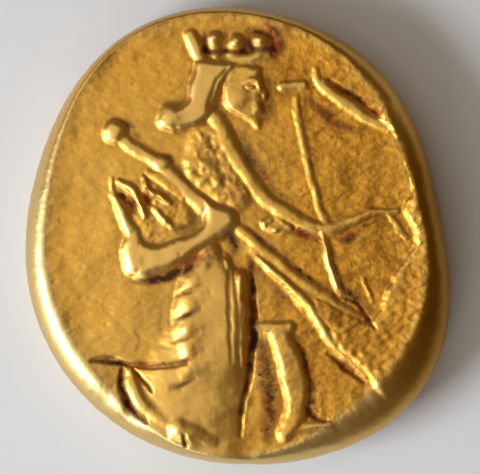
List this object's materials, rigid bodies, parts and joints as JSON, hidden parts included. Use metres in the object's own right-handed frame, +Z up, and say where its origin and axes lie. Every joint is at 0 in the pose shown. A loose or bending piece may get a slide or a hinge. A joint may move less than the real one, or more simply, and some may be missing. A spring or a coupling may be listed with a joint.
{
  "type": "gold coin",
  "caption": "Thick hand-struck gold coin with an uneven oval outline, a kneeling crowned archer in relief on one side and an oblong punch mark in the other.",
  "frame": {"origin": "under the middle of the coin, on the surface that it lies on", "axes": "+Z up out of the archer side, +Y towards the archer's crown, +X the way the archer faces"},
  "size_m": [0.015, 0.0162, 0.0028],
  "materials": {
    "gold": "worn struck gold of high purity, soft gloss on the high spots and brown dirt in the crevices"
  },
  "bodies": {
    "root": {"coin": "gold"}
  },
  "joints": []
}
